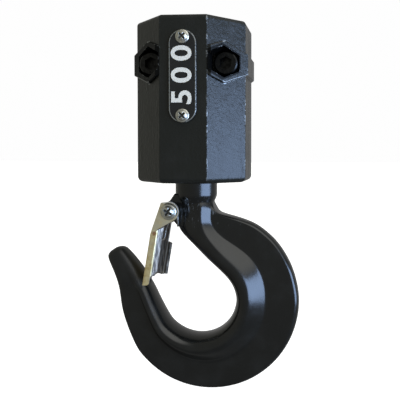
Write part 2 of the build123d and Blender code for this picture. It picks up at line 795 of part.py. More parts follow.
latch_screw = pan_screws(
    front_plane(-latch_width / 2, *pivot),
    [(0, 0)],
    latch_screw_radius,
    latch_width + latch_nut_height + latch_screw_beyond_nut,
    latch_head_radius,
    latch_head_height,
    latch_recess_turn,
)
save(latch_screw, "latch_screw")

with BuildPart() as latch_nut:
    with BuildSketch(front_plane(latch_width / 2, *pivot)):
        RegularPolygon(radius=latch_nut_across / 2, side_count=6, major_radius=False)
        Circle(latch_screw_radius + thread_clearance, mode=Mode.SUBTRACT)
    extrude(amount=-latch_nut_height)
save(latch_nut.part, "latch_nut")

# ---------------------------------------------------------------- latch spring
# Two coils round the bush, beside the lug. A loop between them lies on the latch's web, and each coil's other
# end lies on the hook's neck.
wire_radius = spring_wire / 2
coil_start_y = lug_thick / 2 + latch_clearance + wire_radius
coil_end_y = coil_start_y + spring_pitch * spring_turns
web_inset = latch_sheet + wire_radius + latch_clearance


def from_pivot(point, y):
    return (latch_pivot_x + point[0], y, latch_pivot_z + point[1])


loop_half = [
    (-spring_coil_radius, 0.0),
    latch_point(latch_web_start, web_inset),
    latch_point(latch_knee_drop, web_inset),
    latch_point(spring_web_leg, web_inset),
]

coils = []
for side in (-1, 1):
    coil_plane = Plane(origin=from_pivot((0, 0), side * coil_start_y), x_dir=(-1, 0, 0), z_dir=(0, side, 0))
    turns = Helix(spring_pitch, spring_pitch * spring_turns, spring_coil_radius, lefthand=side < 0)
    coils.append(coil_plane * turns)

with BuildPart() as latch_spring:
    with BuildLine():
        loop = FilletPolyline(
            *[from_pivot(point, -coil_start_y) for point in loop_half],
            *[from_pivot(point, coil_start_y) for point in reversed(loop_half)],
            radius=spring_wire,
        )
    with BuildSketch(Plane(origin=loop @ 0, z_dir=loop % 0)):
        Circle(wire_radius)
    sweep(path=loop)
    for side, coil in zip((-1, 1), coils):
        with BuildSketch(Plane(origin=coil @ 0, z_dir=coil % 0)):
            Circle(wire_radius)
        sweep(path=coil, is_frenet=True)
        with BuildLine():
            leg_end_y = side * (coil_end_y - spring_leg_lean)
            leg = Line(coil @ 1, from_pivot((spring_coil_radius, -spring_neck_leg), leg_end_y))
        with BuildSketch(Plane(origin=leg @ 0, z_dir=leg % 0)):
            Circle(wire_radius)
        sweep(path=leg)
        with Locations(coil @ 0, coil @ 1):
            Sphere(wire_radius * spring_knuckle_share)
save(latch_spring.part, "latch_spring")
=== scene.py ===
"""Looks of the chain hoist's hook block: finishes, hook, latch and spring in detail, studio and camera.

Metres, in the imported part's frame: +Z up, -Y the front, origin at the centre of the chain pin.
Sizes are written in millimetres and multiplied by MM.
"""

import json
from math import cos, pi, radians, sin, sqrt

import bmesh
import bpy
from mathutils import Matrix, Vector


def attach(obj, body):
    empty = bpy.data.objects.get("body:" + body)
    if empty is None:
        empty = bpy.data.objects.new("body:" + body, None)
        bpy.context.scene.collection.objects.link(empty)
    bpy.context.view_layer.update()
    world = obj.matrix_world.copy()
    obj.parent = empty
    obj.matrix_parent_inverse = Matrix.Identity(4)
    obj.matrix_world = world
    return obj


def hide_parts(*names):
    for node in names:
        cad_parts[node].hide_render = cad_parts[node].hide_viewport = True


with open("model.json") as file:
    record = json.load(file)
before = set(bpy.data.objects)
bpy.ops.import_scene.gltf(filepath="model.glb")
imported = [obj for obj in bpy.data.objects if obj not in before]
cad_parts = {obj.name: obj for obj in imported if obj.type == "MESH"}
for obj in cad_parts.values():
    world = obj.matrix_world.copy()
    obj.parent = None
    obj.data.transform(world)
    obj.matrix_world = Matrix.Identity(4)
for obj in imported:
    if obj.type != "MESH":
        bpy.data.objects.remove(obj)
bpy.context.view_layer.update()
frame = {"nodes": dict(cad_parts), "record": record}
nodes = frame["nodes"]

MM = 0.001

# ------------------------------------------------------------------ shared sizes, in millimetres
BLOCK_TOP, BLOCK_BOTTOM = 19.0, -51.0
BLOCK_HALF = 24.0                # half of the width across flats
OCTAGON_SIDE = 9.94              # half of one of the eight sides
BOSS_X = 16.2                    # middle of the bosses
BOSS_HALF = 9.0                  # half of a boss's width
BOSS_TOP, BOSS_SIDE = 8.9, 4.45  # half of a boss's height, at its peaks and at its sides
POCKET_HALF = 5.8                # from a pocket's middle to one of its six sides
POCKET_SHADE_HALF, POCKET_SHADE_SHIFT = 6.6, 0.5    # the same for the painted shade round it, which lies this much inwards
PLATE_Z = -6.7                   # middle of the plate
PLATE_HALF_WIDTH, PLATE_HALF_HEIGHT = 5.75, 19.1
PLATE_RISE = 1.0                 # how far the plate's front is before the block's
PLATE_SCREW_Z = 16.15            # from the plate's middle to a screw
PIVOT_X, PIVOT_Z = -9.6, -64.0   # the latch's pivot
LATCH_HALF = 12.0                # half of the latch's width
KNEE_X, KNEE_Z = 8.6, 10.6       # the bend in the latch's back, left of and below the pivot
WEB_SLOPE = 0.1627               # how much further left the back goes for each millimetre below the bend


# ------------------------------------------------------------------ finishes
class Wire:
    """A value in a finish or a recipe, so that its maths is written as plain expressions."""

    def __init__(self, finish, socket):
        self.finish, self.socket = finish, socket

    def maths(self, operation, first, second=0.0):
        return self.finish.node("ShaderNodeMath", {"operation": operation}, {0: first, 1: second})

    def __add__(self, other):
        return self.maths("ADD", self, other)

    def __radd__(self, other):
        return self.maths("ADD", other, self)

    def __sub__(self, other):
        return self.maths("SUBTRACT", self, other)

    def __rsub__(self, other):
        return self.maths("SUBTRACT", other, self)

    def __mul__(self, other):
        return self.maths("MULTIPLY", self, other)

    def __truediv__(self, other):
        return self.maths("DIVIDE", self, other)

    def __pow__(self, other):
        return self.maths("POWER", self, other)

    def __abs__(self):
        return self.maths("ABSOLUTE", self)

    def root(self):
        return self.maths("SQRT", self)

    def lower(self, other):
        return self.maths("MINIMUM", self, other)

    def higher(self, other):
        return self.maths("MAXIMUM", self, other)

    def rise(self, start, end):
        """0 up to start and 1 from end on, with a soft step between. Start may be the larger one."""
        return self.finish.node(
            "ShaderNodeMapRange",
            {"interpolation_type": "SMOOTHSTEP"},
            {"Value": self, "From Min": start, "From Max": end, "To Min": 0.0, "To Max": 1.0},
        )


class Finish:
    """A material while it is put together. Places and sizes in it are in millimetres."""

    def __init__(self, name, **fixed):
        self.material = bpy.data.materials.new(name)
        self.material.use_nodes = True
        self.tree = self.material.node_tree
        self.shader = self.tree.nodes["Principled BSDF"]
        for socket, value in fixed.items():
            self.feed(self.shader.inputs[socket.replace("_", " ")], value)
        seen = self.node("ShaderNodeTexCoord", output="Object")
        sockets = {"Vector": seen, "Scale": 1 / MM}
        self.place = self.node("ShaderNodeVectorMath", {"operation": "SCALE"}, sockets)
        self.x, self.y, self.z = (
            self.node("ShaderNodeSeparateXYZ", sockets={0: self.place}, output=axis) for axis in range(3)
        )

    def feed(self, socket, value):
        if isinstance(value, Wire):
            self.tree.links.new(value.socket, socket)
        elif socket.type == "RGBA":
            socket.default_value = (*value[:3], 1.0)
        else:
            socket.default_value = value

    def node(self, kind, settings=None, sockets=None, output=0):
        made = self.tree.nodes.new(kind)
        for setting, value in (settings or {}).items():
            setattr(made, setting, value)
        for socket, value in (sockets or {}).items():
            self.feed(made.inputs[socket], value)
        return Wire(self, made.outputs[output])

    def noise(self, size, detail=3.0, roughness=0.5, at=None):
        """Soft noise whose patches are about so many millimetres across."""
        sockets = {"Vector": at or self.place, "Scale": 1 / size, "Detail": detail, "Roughness": roughness}
        return self.node("ShaderNodeTexNoise", {}, sockets)

    def stretched(self, along_x, along_y, along_z):
        """Places for noise that is drawn out by these factors."""
        sockets = {"Vector": self.place, "Scale": (1 / along_x, 1 / along_y, 1 / along_z)}
        return self.node("ShaderNodeMapping", {}, sockets)

    def cells(self, size, output="Distance"):
        """How far the nearest of scattered points is, in cells of this size, or a colour for each cell."""
        return self.node("ShaderNodeTexVoronoi", {}, {"Vector": self.place, "Scale": 1 / size}, output)

    def specks(self, size, radius, share):
        """Small dots: one in each cell of this size, in this share of the cells."""
        colour = self.cells(size, "Color")
        chance = self.node("ShaderNodeSeparateColor", {}, {0: colour})
        dot = self.cells(size).rise(radius / size, radius / size * 0.55)
        return dot * chance.rise(1 - share, 1 - share + 0.01)

    def mix(self, factor, first, second):
        return self.node("ShaderNodeMix", {"data_type": "RGBA"}, {0: factor, 6: first, 7: second}, 2)

    def bump(self, height, depth):
        """Tilts the surface by a height from 0 to 1 that is this many millimetres deep."""
        return self.node("ShaderNodeBump", {}, {"Strength": 1.0, "Distance": depth * MM, "Height": height})

    def done(self, **sockets):
        for socket, value in sockets.items():
            self.feed(self.shader.inputs[socket.replace("_", " ")], value)
        return self.material


def hexagon(beside, above, half):
    """How far a point is outside a hexagon with upright sides, or below 0 inside it."""
    return (beside - half).higher(beside * 0.5 + above * sqrt(0.75) - half)


def block_paint():
    """Semi-gloss black paint on a casting, orange-peeled, with bare metal showing where edges are rubbed, and
    painted shade round the boss pockets.
    """
    f = Finish("block_paint", Specular_IOR_Level=0.33)
    across, deep = abs(f.x), abs(f.y)
    # how far a point is from the upright corners, from the rims, and from the outlines of boss and pocket
    corner_one = ((across - BLOCK_HALF) ** 2.0 + (deep - OCTAGON_SIDE) ** 2.0).root()
    corner_two = ((across - OCTAGON_SIDE) ** 2.0 + (deep - BLOCK_HALF) ** 2.0).root()
    corner = corner_one.lower(corner_two)
    inside = BLOCK_HALF - across.higher(deep).higher((across + deep) * sqrt(0.5))
    rim = (inside ** 2.0 + (BLOCK_TOP - f.z).lower(f.z - BLOCK_BOTTOM) ** 2.0).root()
    beside, above = abs(across - BOSS_X), abs(f.z)
    slope = sqrt(BOSS_HALF**2 + (BOSS_TOP - BOSS_SIDE) ** 2)
    boss = (beside - BOSS_HALF).higher(
        beside * ((BOSS_TOP - BOSS_SIDE) / slope) + above * (BOSS_HALF / slope) - BOSS_HALF * BOSS_TOP / slope
    )
    pocket = hexagon(beside, above, POCKET_HALF)
    # painted shade darkens the bosses round their pockets, and all of the left ones, but not the front and
    # the back
    painted_pocket_shade = hexagon(abs(across - BOSS_X + POCKET_SHADE_SHIFT), above, POCKET_SHADE_HALF).rise(0.3, -0.2)
    painted_pocket_shade = painted_pocket_shade.higher(boss.rise(0.3, -0.1) * f.x.rise(0.0, -1.0)) * across.rise(9.7, 10.0)
    patchy = f.noise(5.0, 4.0, 0.6)
    fine = f.noise(0.9, 3.0, 0.6)
    mixed = patchy * 0.6 + fine * 0.6
    slanted = ((across + deep) * sqrt(0.5)).rise(BLOCK_HALF - 0.35, BLOCK_HALF - 0.1)
    low_rim = (BOSS_X - across).rise(0.3, -0.6) * f.z.rise(-3.0, -5.0)
    outline = abs(boss + 0.15).rise(0.32, 0.08)
    peaks = (beside ** 2.0 + (above - BOSS_TOP + 0.25) ** 2.0).root().rise(0.75, 0.45)
    rubbed = (
        corner.rise(0.5, 0.12) * (patchy * 0.7 + fine * 0.5).rise(0.6, 0.68) * f.x.rise(-2.0, 2.0)
        + rim.rise(1.15, 0.8) * mixed.rise(0.78, 0.84)
        + outline * slanted * mixed.rise(0.66, 0.72)
        + outline * slanted * low_rim * mixed.rise(0.4, 0.55)
        + abs(pocket - 0.05).rise(0.2, 0.03) * slanted * mixed.rise(0.66, 0.72)
        + peaks * slanted
    ).lower(1.0)
    # towards the front the slanted faces are rougher and speckled
    near_front = (deep - OCTAGON_SIDE).rise(8.0, 14.0) * slanted
    dust = f.specks(1.7, 0.09, 0.03) + f.specks(4.3, 0.16, 0.07) + f.specks(0.8, 0.09, 0.3) * near_front
    grime = f.noise(11.0, 5.0, 0.6).rise(0.45, 0.75)
    paint = f.mix(grime, (0.0115, 0.0120, 0.0095), (0.0150, 0.0150, 0.0125))
    paint = f.mix(dust.lower(1.0) * 0.6, paint, (0.20, 0.20, 0.19))
    # painted shade: round the pockets, and on the left bosses, the paint is made nearly black
    paint = f.mix(painted_pocket_shade * 0.9, paint, (0.0015, 0.0015, 0.0014))
    colour = f.mix(rubbed, paint, (0.20, 0.205, 0.20))
    peel = f.noise(1.5, 2.0, 0.45)
    drips = f.noise(1.1, 3.0, 0.55, at=f.stretched(1.0, 1.0, 2.2))
    pits = f.cells(2.6).rise(0.16, 0.05)
    runs = f.noise(2.6, 2.0, 0.5, at=f.stretched(1.0, 1.0, 2.6)).rise(0.56, 0.72)
    rough = f.noise(0.45, 2.0) * 0.2 * (1.0 + near_front)
    height = peel * 0.4 + drips * 0.5 + runs * 0.3 + rough - pits * 0.2
    # the painted pocket shade is also rougher and metallic over a near-black base, which dims its reflection
    return f.done(
        Base_Color=colour,
        Roughness=0.27 + grime * 0.08 + fine * 0.08 - rubbed * 0.04 + painted_pocket_shade * 0.15,
        Metallic=(rubbed * 0.7).higher(painted_pocket_shade * 0.65),
        Normal=f.bump(height, 0.17),
    )


def hook_paint():
    """Black paint on a forging: smooth, a little grainy, dusty, and scratched below the waist."""
    f = Finish("hook_paint", Specular_IOR_Level=0.5)
    grain = f.noise(0.5, 3.0, 0.6)
    waves = f.noise(4.0, 2.0, 0.5)
    cloudy = f.noise(9.0, 5.0, 0.6).rise(0.4, 0.75)
    dust = (f.specks(1.3, 0.07, 0.06) + f.specks(3.1, 0.12, 0.15)).lower(1.0)
    streaks = f.noise(0.7, 3.0, 0.7, at=f.stretched(1.0, 1.0, 5.0))
    near_neck = f.z.rise(-74.0, -66.0) * f.z.rise(-55.0, -61.0)
    scratched = streaks.rise(0.62, 0.68) * near_neck
    # slings rubbed the tip dull
    dull = (f.x * -1.0).rise(21.0, 26.0) * f.z.rise(-101.0, -95.0)
    paint = f.mix(cloudy, (0.0050, 0.0051, 0.0046), (0.0092, 0.0093, 0.0084))
    colour = f.mix((dust * 0.5 + scratched * 0.25).lower(1.0), paint, (0.30, 0.31, 0.30))
    return f.done(
        Base_Color=colour,
        Roughness=0.15 + cloudy * 0.06 + grain * 0.07 + scratched * 0.12 + dull * 0.25,
        Normal=f.bump(grain * 0.35 + waves * 0.65, 0.03),
    )


def bare_metal(name, light, dark, roughness, blotch):
    """Bright or plated metal: blotched, scratched and a little stained, with painted shade in a screw's
    recess.
    """
    f = Finish(name)
    blotches = f.noise(blotch, 4.0, 0.6).rise(0.35, 0.7)
    scratches = f.noise(0.25, 3.0, 0.7)
    stains = f.noise(0.8, 5.0, 0.65).rise(0.62, 0.72)
    colour = f.mix(blotches, light, dark)
    colour = f.mix(stains * 0.55, colour, tuple(0.35 * c for c in dark))
    # painted shade: a screw's cross recess is made dark, dull and less metallic
    recess = f.node("ShaderNodeAttribute", {"attribute_name": "recess"}, output="Fac")
    colour = f.mix(recess * 0.9, colour, (0.020, 0.019, 0.014))
    return f.done(
        Base_Color=colour,
        Roughness=roughness + blotches * 0.1 + scratches * 0.12 + stains * 0.15 + recess * 0.3,
        Metallic=1.0 - stains * 0.35 - recess * 0.6,
        Normal=f.bump(scratches, 0.008),
    )


def yellow_zinc():
    """Yellow passivated zinc on pressed sheet: mottled, rusty in spots, worn to bare steel in specks."""
    f = Finish("yellow_zinc")
    # the outside kept its yellow, while the inner faces and the lips are streaked bare metal, painted darker
    # for the shade inside the channel
    web_depth = (f.x - PIVOT_X + KNEE_X) - (f.z - PIVOT_Z + KNEE_Z) * 0.163
    outside = abs(f.y).rise(LATCH_HALF - 0.6, LATCH_HALF - 0.25).higher(web_depth.rise(0.7, 0.4))
    mottled = f.noise(1.6, 5.0, 0.65)
    faded = f.noise(7.0, 3.0, 0.5).rise(0.42, 0.68).higher((f.z - PIVOT_Z).rise(-6.5, -3.0) * 0.8)
    spot = ((f.x + 16.3) ** 2.0 + (f.z + 73.6) ** 2.0).root() + mottled * 1.6
    rust = (f.noise(2.3, 5.0, 0.7) * 0.7 + mottled * 0.3).rise(0.62, 0.7).higher(spot.rise(2.2, 1.3))
    streaks = f.noise(0.8, 4.0, 0.6, at=f.stretched(1.0, 1.0, 7.0))
    # on the ear, a painted shadow lies against the screw's head, and a painted highlight on the rim, both on
    # the upper right
    from_pivot = ((f.x - PIVOT_X) ** 2.0 + (f.z - PIVOT_Z) ** 2.0).root()
    upper_right = (f.x - PIVOT_X + f.z - PIVOT_Z).rise(0.5, 2.5)
    painted_head_shadow = from_pivot.rise(4.0, 3.8) * upper_right
    painted_rim_highlight = from_pivot.rise(3.95, 4.15) * from_pivot.rise(4.8, 4.6) * upper_right
    bare = f.specks(0.9, 0.16, 0.12)
    yellow = f.mix(mottled.rise(0.35, 0.65), (0.72, 0.57, 0.27), (0.90, 0.78, 0.46))
    yellow = f.mix(faded, yellow, (0.74, 0.68, 0.50))
    inner_metal_and_shade = f.mix(streaks.rise(0.4, 0.58), (0.40, 0.35, 0.29), (0.10, 0.088, 0.073))
    colour = f.mix(outside, inner_metal_and_shade, yellow)
    colour = f.mix(rust * outside * 0.85, colour, (0.24, 0.09, 0.03))
    colour = f.mix(bare.lower(1.0) * 0.6, colour, (0.85, 0.84, 0.76))
    # a painted highlight runs down the bend of the far lip
    painted_bend_highlight = abs(web_depth - 3.0).rise(0.5, 0.2) * f.y.rise(4.0, 6.0)
    # painted highlights: the ear's rim and the far lip's bend are made near white
    colour = f.mix(painted_rim_highlight.higher(painted_bend_highlight), colour, (0.95, 0.94, 0.90))
    # painted shadow of the screw's head on the ear
    colour = f.mix(painted_head_shadow * 0.9, colour, (0.02, 0.02, 0.018))
    return f.done(
        Base_Color=colour,
        Roughness=0.30 + outside * 0.12 + mottled * 0.12 + rust * 0.3,
        Metallic=0.5 + (outside * 0.45).higher(painted_rim_highlight) - rust * 0.45,
        Normal=f.bump(mottled * 0.6 + streaks * 0.4, 0.03),
    )


def plate_black():
    """Black enamel with a bare bright line round the edge, a little inside it."""
    f = Finish("plate_black", Specular_IOR_Level=0.5)
    high = (abs(f.z - PLATE_Z) - (PLATE_HALF_HEIGHT - PLATE_HALF_WIDTH)).higher(0.0)
    inside = PLATE_HALF_WIDTH - (f.x ** 2.0 + high ** 2.0).root()
    chipped = f.noise(0.6, 3.0, 0.6)
    line = abs(inside + chipped * 0.12 - 0.38).rise(0.22, 0.1) * chipped.rise(0.3, 0.5)
    cloudy = f.noise(3.0, 4.0, 0.6)
    scuffs = f.noise(0.3, 3.0, 0.6, at=f.stretched(1.0, 1.0, 6.0)).rise(0.64, 0.75)
    paint = f.mix(cloudy, (0.006, 0.006, 0.006), (0.013, 0.013, 0.013))
    paint = f.mix(scuffs * 0.1, paint, (0.3, 0.3, 0.3))
    colour = f.mix(line, paint, (0.42, 0.43, 0.40))
    return f.done(
        Base_Color=colour,
        Roughness=0.24 + cloudy * 0.12,
        Metallic=line * 0.8,
        Normal=f.bump(cloudy * 0.3 + chipped * 0.2, 0.015),
    )


def figure_paint():
    """Off-white figures printed on the plate, slightly worn."""
    f = Finish("figure_paint")
    worn = f.noise(0.8, 4.0, 0.65)
    thin = worn.rise(0.62, 0.74)
    colour = f.mix(worn, (0.93, 0.87, 0.74), (0.80, 0.75, 0.64))
    colour = f.mix(thin * 0.5, colour, (0.08, 0.08, 0.075))
    return f.done(Base_Color=colour, Roughness=0.45 + worn * 0.15, Normal=f.bump(worn, 0.01))


paints = {
    "block_paint": block_paint(),
    "hook_paint": hook_paint(),
    "black_oxide": bare_metal("black_oxide", (0.030, 0.030, 0.029), (0.014, 0.014, 0.014), 0.30, 1.2),
    "zinc_steel": bare_metal("zinc_steel", (0.68, 0.67, 0.60), (0.44, 0.43, 0.38), 0.27, 1.0),
    "yellow_zinc": yellow_zinc(),
    "spring_steel": bare_metal("spring_steel", (0.55, 0.55, 0.53), (0.33, 0.33, 0.32), 0.24, 0.8),
    "bearing_steel": bare_metal("bearing_steel", (0.62, 0.62, 0.63), (0.50, 0.50, 0.51), 0.12, 2.0),
    "cage_brass": bare_metal("cage_brass", (0.62, 0.44, 0.16), (0.45, 0.31, 0.11), 0.25, 1.5),
    "plate_black": plate_black(),
    "figure_paint": figure_paint(),
}

for entry in frame["record"]["subparts"]:
    shown = nodes[entry["node"]]
    shown.data.materials.clear()
    shown.data.materials.append(paints[entry["material_slot"]])


# ------------------------------------------------------------------ making pieces
def piece(name, mesh, finish, body, slot, *replaced):
    """A finished piece: its place is in its mesh, it rides on a body and stands for the nodes it replaces."""
    made = bpy.data.objects.new(name, mesh)
    bpy.context.scene.collection.objects.link(made)
    mesh.materials.clear()
    mesh.materials.append(paints[finish])
    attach(made, body)
    if replaced:
        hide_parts(*replaced)
    return made


# ------------------------------------------------------------------ figures on the plate
def plate_figures():
    """A plain number, read from bottom to top, printed a hair above the plate."""
    text = bpy.data.curves.new("figures", "FONT")
    text.body = "500"
    text.size = 11.6 * MM
    text.offset = 0.24 * MM
    text.extrude = 0.03 * MM
    text.space_character = 1.38
    text.align_x, text.align_y = "CENTER", "CENTER"
    holder = bpy.data.objects.new("figures_text", text)
    bpy.context.scene.collection.objects.link(holder)
    bpy.context.view_layer.update()
    mesh = bpy.data.meshes.new_from_object(holder.evaluated_get(bpy.context.evaluated_depsgraph_get()))
    bpy.data.objects.remove(holder)
    wider, above_middle = 1.12, 0.4
    reading_up = Matrix((
        (0, -1, 0, 0),
        (0, 0, -1, -(BLOCK_HALF + PLATE_RISE) * MM),
        (wider, 0, 0, (PLATE_Z + above_middle) * MM),
        (0, 0, 0, 1),
    ))
    mesh.transform(reading_up)
    piece("plate_figures", mesh, "figure_paint", "block", "plate_black")


plate_figures()


# ------------------------------------------------------------------ hook, as a smooth forging
def skin(name, rings, sharp=None):
    """A closed surface through rings of points in millimetres, with a flat cap at both ends."""
    count = len(rings[0])
    faces = [list(range(count)), [(len(rings) - 1) * count + i for i in range(count)]]
    for ring in range(len(rings) - 1):
        for i in range(count):
            j = (i + 1) % count
            faces.append([ring * count + i, ring * count + j, (ring + 1) * count + j, (ring + 1) * count + i])
    return solid(name, [point for ring in rings for point in ring], faces, sharp)


def solid(name, points, faces, sharp=None):
    """A mesh of points in millimetres, its doubles merged and its faces turned outwards."""
    shape = bmesh.new()
    corners = [shape.verts.new(Vector(point) * MM) for point in points]
    for face in faces:
        shape.faces.new([corners[i] for i in face])
    bmesh.ops.remove_doubles(shape, verts=shape.verts, dist=0.001 * MM)
    bmesh.ops.recalc_face_normals(shape, faces=shape.faces)
    mesh = bpy.data.meshes.new(name)
    shape.to_mesh(mesh)
    shape.free()
    mesh.shade_smooth()
    if sharp:
        mesh.set_sharp_from_angle(angle=radians(sharp))
    return mesh


def eased(rows, steps=8, passes=10):
    """Rows of numbers with smooth steps between them."""
    filled, last = [], len(rows) - 1
    for i in range(last):
        near = (rows[max(i - 1, 0)], rows[i], rows[i + 1], rows[min(i + 2, last)])
        for step in range(steps):
            t = step / steps
            filled.append([
                b + 0.5 * t * (c - a + t * (2 * a - 5 * b + 4 * c - d + t * (3 * b - a - 3 * c + d)))
                for a, b, c, d in zip(*near)
            ])
    filled.append(list(rows[last]))
    for _ in range(passes):
        threes = zip(filled, filled[1:], filled[2:])
        middle = [[(a + 2 * b + c) / 4 for a, b, c in zip(*three)] for three in threes]
        filled = [filled[0]] + middle + [filled[-1]]
    return filled


# the inside and the back of the hook are arcs of circles
BOWL_X, BOWL_Z, BOWL_RADIUS = 1.2, -103.7, 17.6
BACK_X, BACK_Z, BACK_RADIUS = 6.55, -105.15, 40.75
RIB_HALF = 10.0


def round_bowl(angle, reach):
    """A point at an angle in degrees and a distance from the bowl's centre."""
    return BOWL_X + reach * cos(radians(angle)), BOWL_Z + reach * sin(radians(angle))


def back_reach(angle):
    """How far the hook's back is from the bowl's centre at an angle."""
    across, down = BACK_X - BOWL_X, BACK_Z - BOWL_Z
    along = across * cos(radians(angle)) + down * sin(radians(angle))
    return along + sqrt(BACK_RADIUS**2 - across**2 - down**2 + along**2)


# Each row goes across the hook as (x, z) of the inner edge, the rib's crest, the foot of its bevel and the
# outer edge, then half the thickness, the web's share of it, how far the section is a rib with a web, and how
# full its round part is (2 for an ellipse, more for a flatter front).
hook_rows = [
    (-8.0, -59.6, 3.4, -59.6, 7.2, -59.6, 8.0, -59.6, 8.0, 0.66, 0.0, 2.0),
    (-8.2, -62.6, 2.7, -62.6, 7.6, -62.6, 8.7, -62.4, 8.3, 0.65, 0.8, 2.0),
    (-8.5, -66.0, 2.6, -66.0, 7.6, -66.0, 10.4, -64.9, 8.3, 0.65, 1.0, 2.0),
    (-8.5, -69.6, 2.9, -69.6, 7.9, -69.6, 13.8, -66.0, 8.35, 0.64, 1.0, 2.0),
    (-7.2, -73.3, 4.7, -73.8, 10.0, -73.3, 18.3, -67.1, 8.7, 0.59, 1.0, 2.0),
    (-3.9, -76.9, 7.8, -78.2, 13.6, -76.7, 23.0, -68.5, 9.2, 0.52, 1.0, 2.0),
    (0.5, -81.1, 11.3, -82.7, 18.2, -79.7, 27.7, -70.5, 9.6, 0.47, 1.0, 2.0),
    (5.4, -86.0, 15.2, -86.8, 22.9, -82.9, 32.5, -73.9, 9.9, 0.46, 1.0, 2.0),
    (10.6, -90.5, 18.6, -90.7, 26.9, -86.7, 37.4, -78.6, 10.0, 0.46, 1.0, 2.0),
    (14.6, -94.3, 21.3, -94.8, 29.8, -91.4, 41.7, -84.9, 10.0, 0.46, 1.0, 2.0),
    (17.3, -98.2, 22.9, -98.8, 31.6, -96.9, 45.0, -92.2, 10.0, 0.46, 1.0, 2.0),
]
for angle in range(2, -151, -12):
    width = back_reach(angle) - BOWL_RADIUS
    thinner = (2 - angle) / 152
    narrower = max(0.0, (-80 - angle) / 70)
    reaches = (0.0, 0.165 + 0.075 * thinner, 0.47 - 0.10 * narrower, 1.0)
    places = [round_bowl(angle, BOWL_RADIUS + width * share) for share in reaches]
    heights = (RIB_HALF - 1.5 * thinner, 0.46 + 0.04 * thinner + 0.16 * narrower)
    hook_rows.append((*[v for place in places for v in place], *heights, 1.0, 2.0 + narrower))
tip_rows = [
    # inner edge, outer edge, half thickness, how ribbed
    (-16.8, -107.0, -33.9, -111.5, 7.9, 0.9),
    (-20.2, -99.9, -35.3, -101.0, 7.2, 0.65),
    (-24.9, -92.3, -37.4, -94.3, 6.3, 0.1),
    (-29.3, -86.5, -39.8, -89.2, 5.4, 0.0),
    (-31.9, -83.6, -40.7, -87.0, 4.8, 0.0),
    (-33.4, -82.2, -41.0, -85.6, 4.1, 0.0),
    (-34.9, -81.7, -40.6, -84.5, 3.2, 0.0),
    (-36.3, -81.7, -39.8, -83.6, 2.2, 0.0),
    (-37.6, -82.1, -38.7, -82.8, 0.9, 0.0),
]
for i, (inner_x, inner_z, outer_x, outer_z, half, ribbed) in enumerate(tip_rows):
    crest_share, foot_share = 0.25 + 0.03 * i, 0.36 + 0.04 * i
    crest = inner_x + (outer_x - inner_x) * crest_share, inner_z + (outer_z - inner_z) * crest_share
    foot = inner_x + (outer_x - inner_x) * foot_share, inner_z + (outer_z - inner_z) * foot_share
    hook_rows.append((inner_x, inner_z, *crest, *foot, outer_x, outer_z, half, 0.72, ribbed, 3.0))


SOFT = 0.4                       # share of the bevel over which it begins to fall
CREST = 0.998                    # height of the rib's crest, as a share of half the thickness
ROUND_FROM = 0.86                # share of the web's width where its outer edge begins to round


def fall(share):
    """How far a bevel has fallen: it starts softly and then runs straight."""
    steep = 1 / (1 - SOFT / 2)
    return steep * share**2 / (2 * SOFT) if share < SOFT else steep * (share - SOFT / 2)


# across the front of a section: which two of the four edges a point lies between, its share of the way, and a
# function of the web's share that gives its height
inner_side = [(0, 1 - cos(k / 12 * pi / 2), lambda web, k=k: sin(k / 12 * pi / 2) ** 0.9) for k in range(12)]
bevel = [
    (1, s, lambda web, s=s: CREST - fall(s) * (CREST - web))
    for s in (0.0, 0.08, 0.16, 0.24, 0.32, 0.4, 0.6, 0.85, 0.96)
]
web_side = [
    (2, s, lambda web, s=s: web * (1.0 - 0.12 * s)) for s in (0.03, 0.1, 0.25, 0.45, 0.65, 0.8, ROUND_FROM)
]
outer_side = [
    (2, ROUND_FROM + 0.14 * sin(k / 8 * pi / 2), lambda web, k=k: web * 0.9 * cos(k / 8 * pi / 2))
    for k in range(1, 9)
]
front_points = inner_side + bevel + web_side + outer_side


def hook_ring(row):
    """The section of the hook that a row stands for, as a ring of points."""
    edges = [(row[0], row[1]), (row[2], row[3]), (row[4], row[5]), (row[6], row[7])]
    half, web, ribbed, full = row[8:]
    run = (edges[3][0] - edges[0][0], edges[3][1] - edges[0][1])
    front = []
    for first, share, height in front_points:
        x = edges[first][0] + (edges[first + 1][0] - edges[first][0]) * share
        z = edges[first][1] + (edges[first + 1][1] - edges[first][1]) * share
        across = ((x - edges[0][0]) * run[0] + (z - edges[0][1]) * run[1]) / (run[0] ** 2 + run[1] ** 2)
        across = min(max(across, 0.0), 1.0)
        plain = (1 - abs(2 * across - 1) ** full) ** (1 / full)
        front.append((x, -half * (plain + (height(web) - plain) * ribbed), z))
    return front + [(x, -y, z) for x, y, z in reversed(front[1:-1])]


arm = skin("hook_arm", [hook_ring(row) for row in eased(hook_rows)])
piece("hook_arm", arm, "hook_paint", "hook", "hook_paint", "hook")

shank_profile = [
    # radius and height, from the waist up
    (8.0, -61.6), (8.08, -60.9), (8.3, -60.2), (8.75, -59.2), (9.12, -58.3), (9.33, -57.6), (9.4, -56.9),
    (9.4, -50.0), (9.4, -43.0), (8.45, -43.0), (8.45, -33.5), (8.0, -33.5), (8.0, -18.5), (7.0, -17.5),
]
turns = [2 * pi * i / 96 for i in range(96)]
shank_rings = [[(r * cos(t), r * sin(t), z) for t in turns] for r, z in shank_profile]
piece("hook_shank", skin("hook_shank", shank_rings, 35), "hook_paint", "hook", "hook_paint")

LUG_RADIUS, LUG_HALF = 4.9, 6.35
NOSE_FROM, NOSE_TO = 124, 278    # degrees between which the lug's nose is round
NOSE_FULL, NOSE_DRAWN_IN = 160, 0.7     # before this angle it is drawn in, by up to so much


